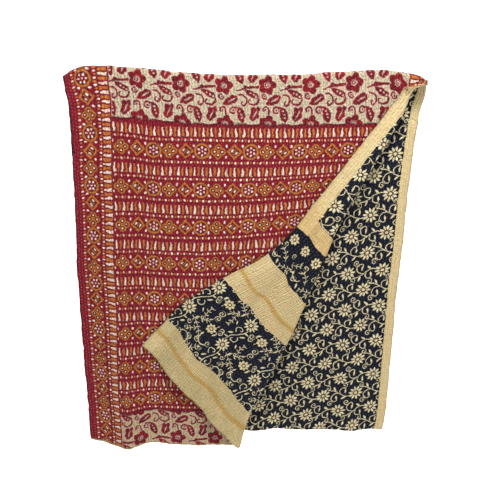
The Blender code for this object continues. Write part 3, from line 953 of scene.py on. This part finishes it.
    # Cream bands across the end that hangs in front, and the strip down the edge above them
    bandY = y + (plan.noise(0.085, 1.0) - 0.5) * 3.4
    inFront = 1 - y.under(3.0, 2.0)
    strip = (fromEdge - look["stripWidth"] - inFront * 1.2).under(0.0, 0.07)
    band = strip * bandY.under(58.8, 0.07)
    for start, end in look["bands"]:
        band = band.most(((bandY - (start + end) / 2).bare() - (end - start) / 2).under(0.0, 0.07))
    ribs = (x / 0.62).zigzag(0.5)
    streak = plan.vector("MULTIPLY", (1.0, 0.06, 0)).noise(1.4, 2.0)
    crossStreak = plan.vector("MULTIPLY", (0.05, 1.0, 0)).noise(2.2, 2.0)
    bandTone = colour.flat(look["band"]).paint(tone(*look["bandPink"]), streak.under(0.47, 0.1) * 0.55)
    bandTone = bandTone.paint(tone(*look["bandGreen"]), (1 - streak).under(0.42, 0.08) * 0.4)
    patches = (1 - y.under(108.0, 0.5)) * plan.noise(0.16, 2.0).under(0.55, 0.15) * 0.6
    bandTone = bandTone.paint(tone(*look["bandGreen"]), patches)
    golden = y.under(60.0, 0.5) * (1 - y.under(49.0, 4.0))
    bandTone = bandTone.paint(tone(*look["bandGold"]), golden * 0.5)
    bandTone = bandTone.paint(tone(*look["bandGold"]), crossStreak.under(0.40, 0.06) * 0.25)
    ochreLine = ((bandY - 82.3).bare() - 0.7).least((bandY - 118.1).bare() - 0.75)
    bandTone = bandTone.paint(tone(*look["ochre"]), (ochreLine + (fine - 0.5) * 0.8).under(0.0, 0.4) * 0.85)
    crossRibs = (y / 0.66).zigzag(0.5)
    ribbed = 1 - golden * 0.5
    bandTone = bandTone.paint(tone(*look["rib"]), crossRibs.under(0.13, 0.1) * ribbed * (0.5 - strip * 0.3))
    bandTone = bandTone.paint(tone(*look["rib"]), ribs.under(0.15, 0.1) * ribbed * (0.75 - strip * 0.5))
    bandDash = (dashRun.fraction() - 0.5).bare().under(0.26, 0.08) * ribs.under(0.16, 0.05)
    bandTone = bandTone.paint(tone(*look["bandStitch"]), bandDash * 0.25)
    colour = colour.paint(bandTone, band)
    seam = ((fromEdge - 0.35).bare() - 0.07).under(0.0, 0.05) * band
    colour = colour.paint(tone(*look["rib"]), seam * 0.5)
    colour = colour.scaled(0.78 + grain * 0.44)

    puckers = plan.vector("MULTIPLY", (0.75, 1.1, 0)).noise(1.0, 2.0)
    height = rowMiddle * 0.9 + puckers * 1.2 + plan.noise(9.0, 1.0) * 0.2 - dash * 0.35
    finishMaterial(shader, colour, height)
    return material


print("painting the two cloths")
redCloth.data.materials.append(paintRedSide())
blackCloth.data.materials.append(paintBlackSide())

for cloth, node in ((redCloth, "red_cloth"), (blackCloth, "black_cloth")):
    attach(cloth, "root")
    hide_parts(node)

studio = {
    "floorZ": -1.75,
    "cameraPlace": (0.0, -2.131, 0.1415),
    "cameraTilt": 72.17,  # degrees from straight down
    "lens": 50.4,
    "whiteFrom": 0.3,  # the floor in front of this y glows less
    "glow": 0.85,
}


# The floor runs back level and then curves up into the backdrop: a line in y and z carried along x
def makeSweep():
    angle = np.linspace(0, math.pi / 2, 13)
    y = np.concatenate(([-6.0], 2.5 + 1.5 * np.sin(angle), [4.0]))
    z = np.concatenate(([0.0], 1.5 * (1 - np.cos(angle)), [6.0])) + studio["floorZ"]
    count = len(y)
    points = [(side * 7.0, a, b) for side in (-1, 1) for a, b in zip(y, z)]
    faces = [(i, i + count, i + count + 1, i + 1) for i in range(count - 1)]
    mesh = bpy.data.meshes.new("studio_sweep")
    mesh.from_pydata(points, [], faces)
    mesh.shade_smooth()
    sweep = bpy.data.objects.new("studio_sweep", mesh)
    bpy.context.scene.collection.objects.link(sweep)
    material = plainMaterial("studioWhite", (0.95, 0.95, 0.95), 0.9)
    shader = material.node_tree.nodes["Principled BSDF"]
    shader.inputs["Emission Strength"].default_value = studio["glow"]
    place = Wire(material.node_tree, None).make("ShaderNodeTexCoord", output=3)
    split = place.make("ShaderNodeSeparateXYZ", None, {0: place}, 1)
    glow = place.flat((120, 120, 120)).paint((1, 1, 1), 1 - split.under(studio["whiteFrom"] - 0.3, 0.3))
    material.node_tree.links.new(glow.socket, shader.inputs["Emission Color"])
    mesh.materials.append(material)
    return sweep


makeSweep()


def addAreaLight(name, place, target, size, power):
    light = bpy.data.lights.new(name, "AREA")
    light.shape = "DISK"
    light.size = size
    light.energy = power
    lamp = bpy.data.objects.new(name, light)
    lamp.location = place
    direction = np.array(target) - np.array(place)
    flatLength = math.hypot(direction[0], direction[1])
    tilt, heading = math.atan2(direction[2], flatLength), math.atan2(direction[1], direction[0])
    lamp.rotation_euler = (math.pi / 2 + tilt, 0, heading - math.pi / 2)
    bpy.context.scene.collection.objects.link(lamp)
    return lamp


addAreaLight("key_light", (0.2, -1.35, 1.5), (0, 0, -0.3), 0.8, 56)
addAreaLight("fill_light", (2.0, -2.2, 0.6), (0, 0, -0.5), 1.6, 15)
addAreaLight("back_light", (0.6, 3.0, 1.6), (0, 0, -0.6), 2.0, 45)

world = bpy.data.worlds.new("studioWorld")
bpy.context.scene.world = world
world.use_nodes = True
world.node_tree.nodes["Background"].inputs["Color"].default_value = (1, 1, 1, 1)
world.node_tree.nodes["Background"].inputs["Strength"].default_value = 0.34
bpy.context.scene.view_settings.view_transform = "Standard"

cameraData = bpy.data.cameras.new("camera")
cameraData.lens = studio["lens"]
cameraData.sensor_width = 36
cameraData.sensor_fit = "AUTO"
camera = bpy.data.objects.new("camera", cameraData)
camera.location = studio["cameraPlace"]
camera.rotation_euler = (math.radians(studio["cameraTilt"]), 0, 0)
bpy.context.scene.collection.objects.link(camera)
bpy.context.scene.camera = camera
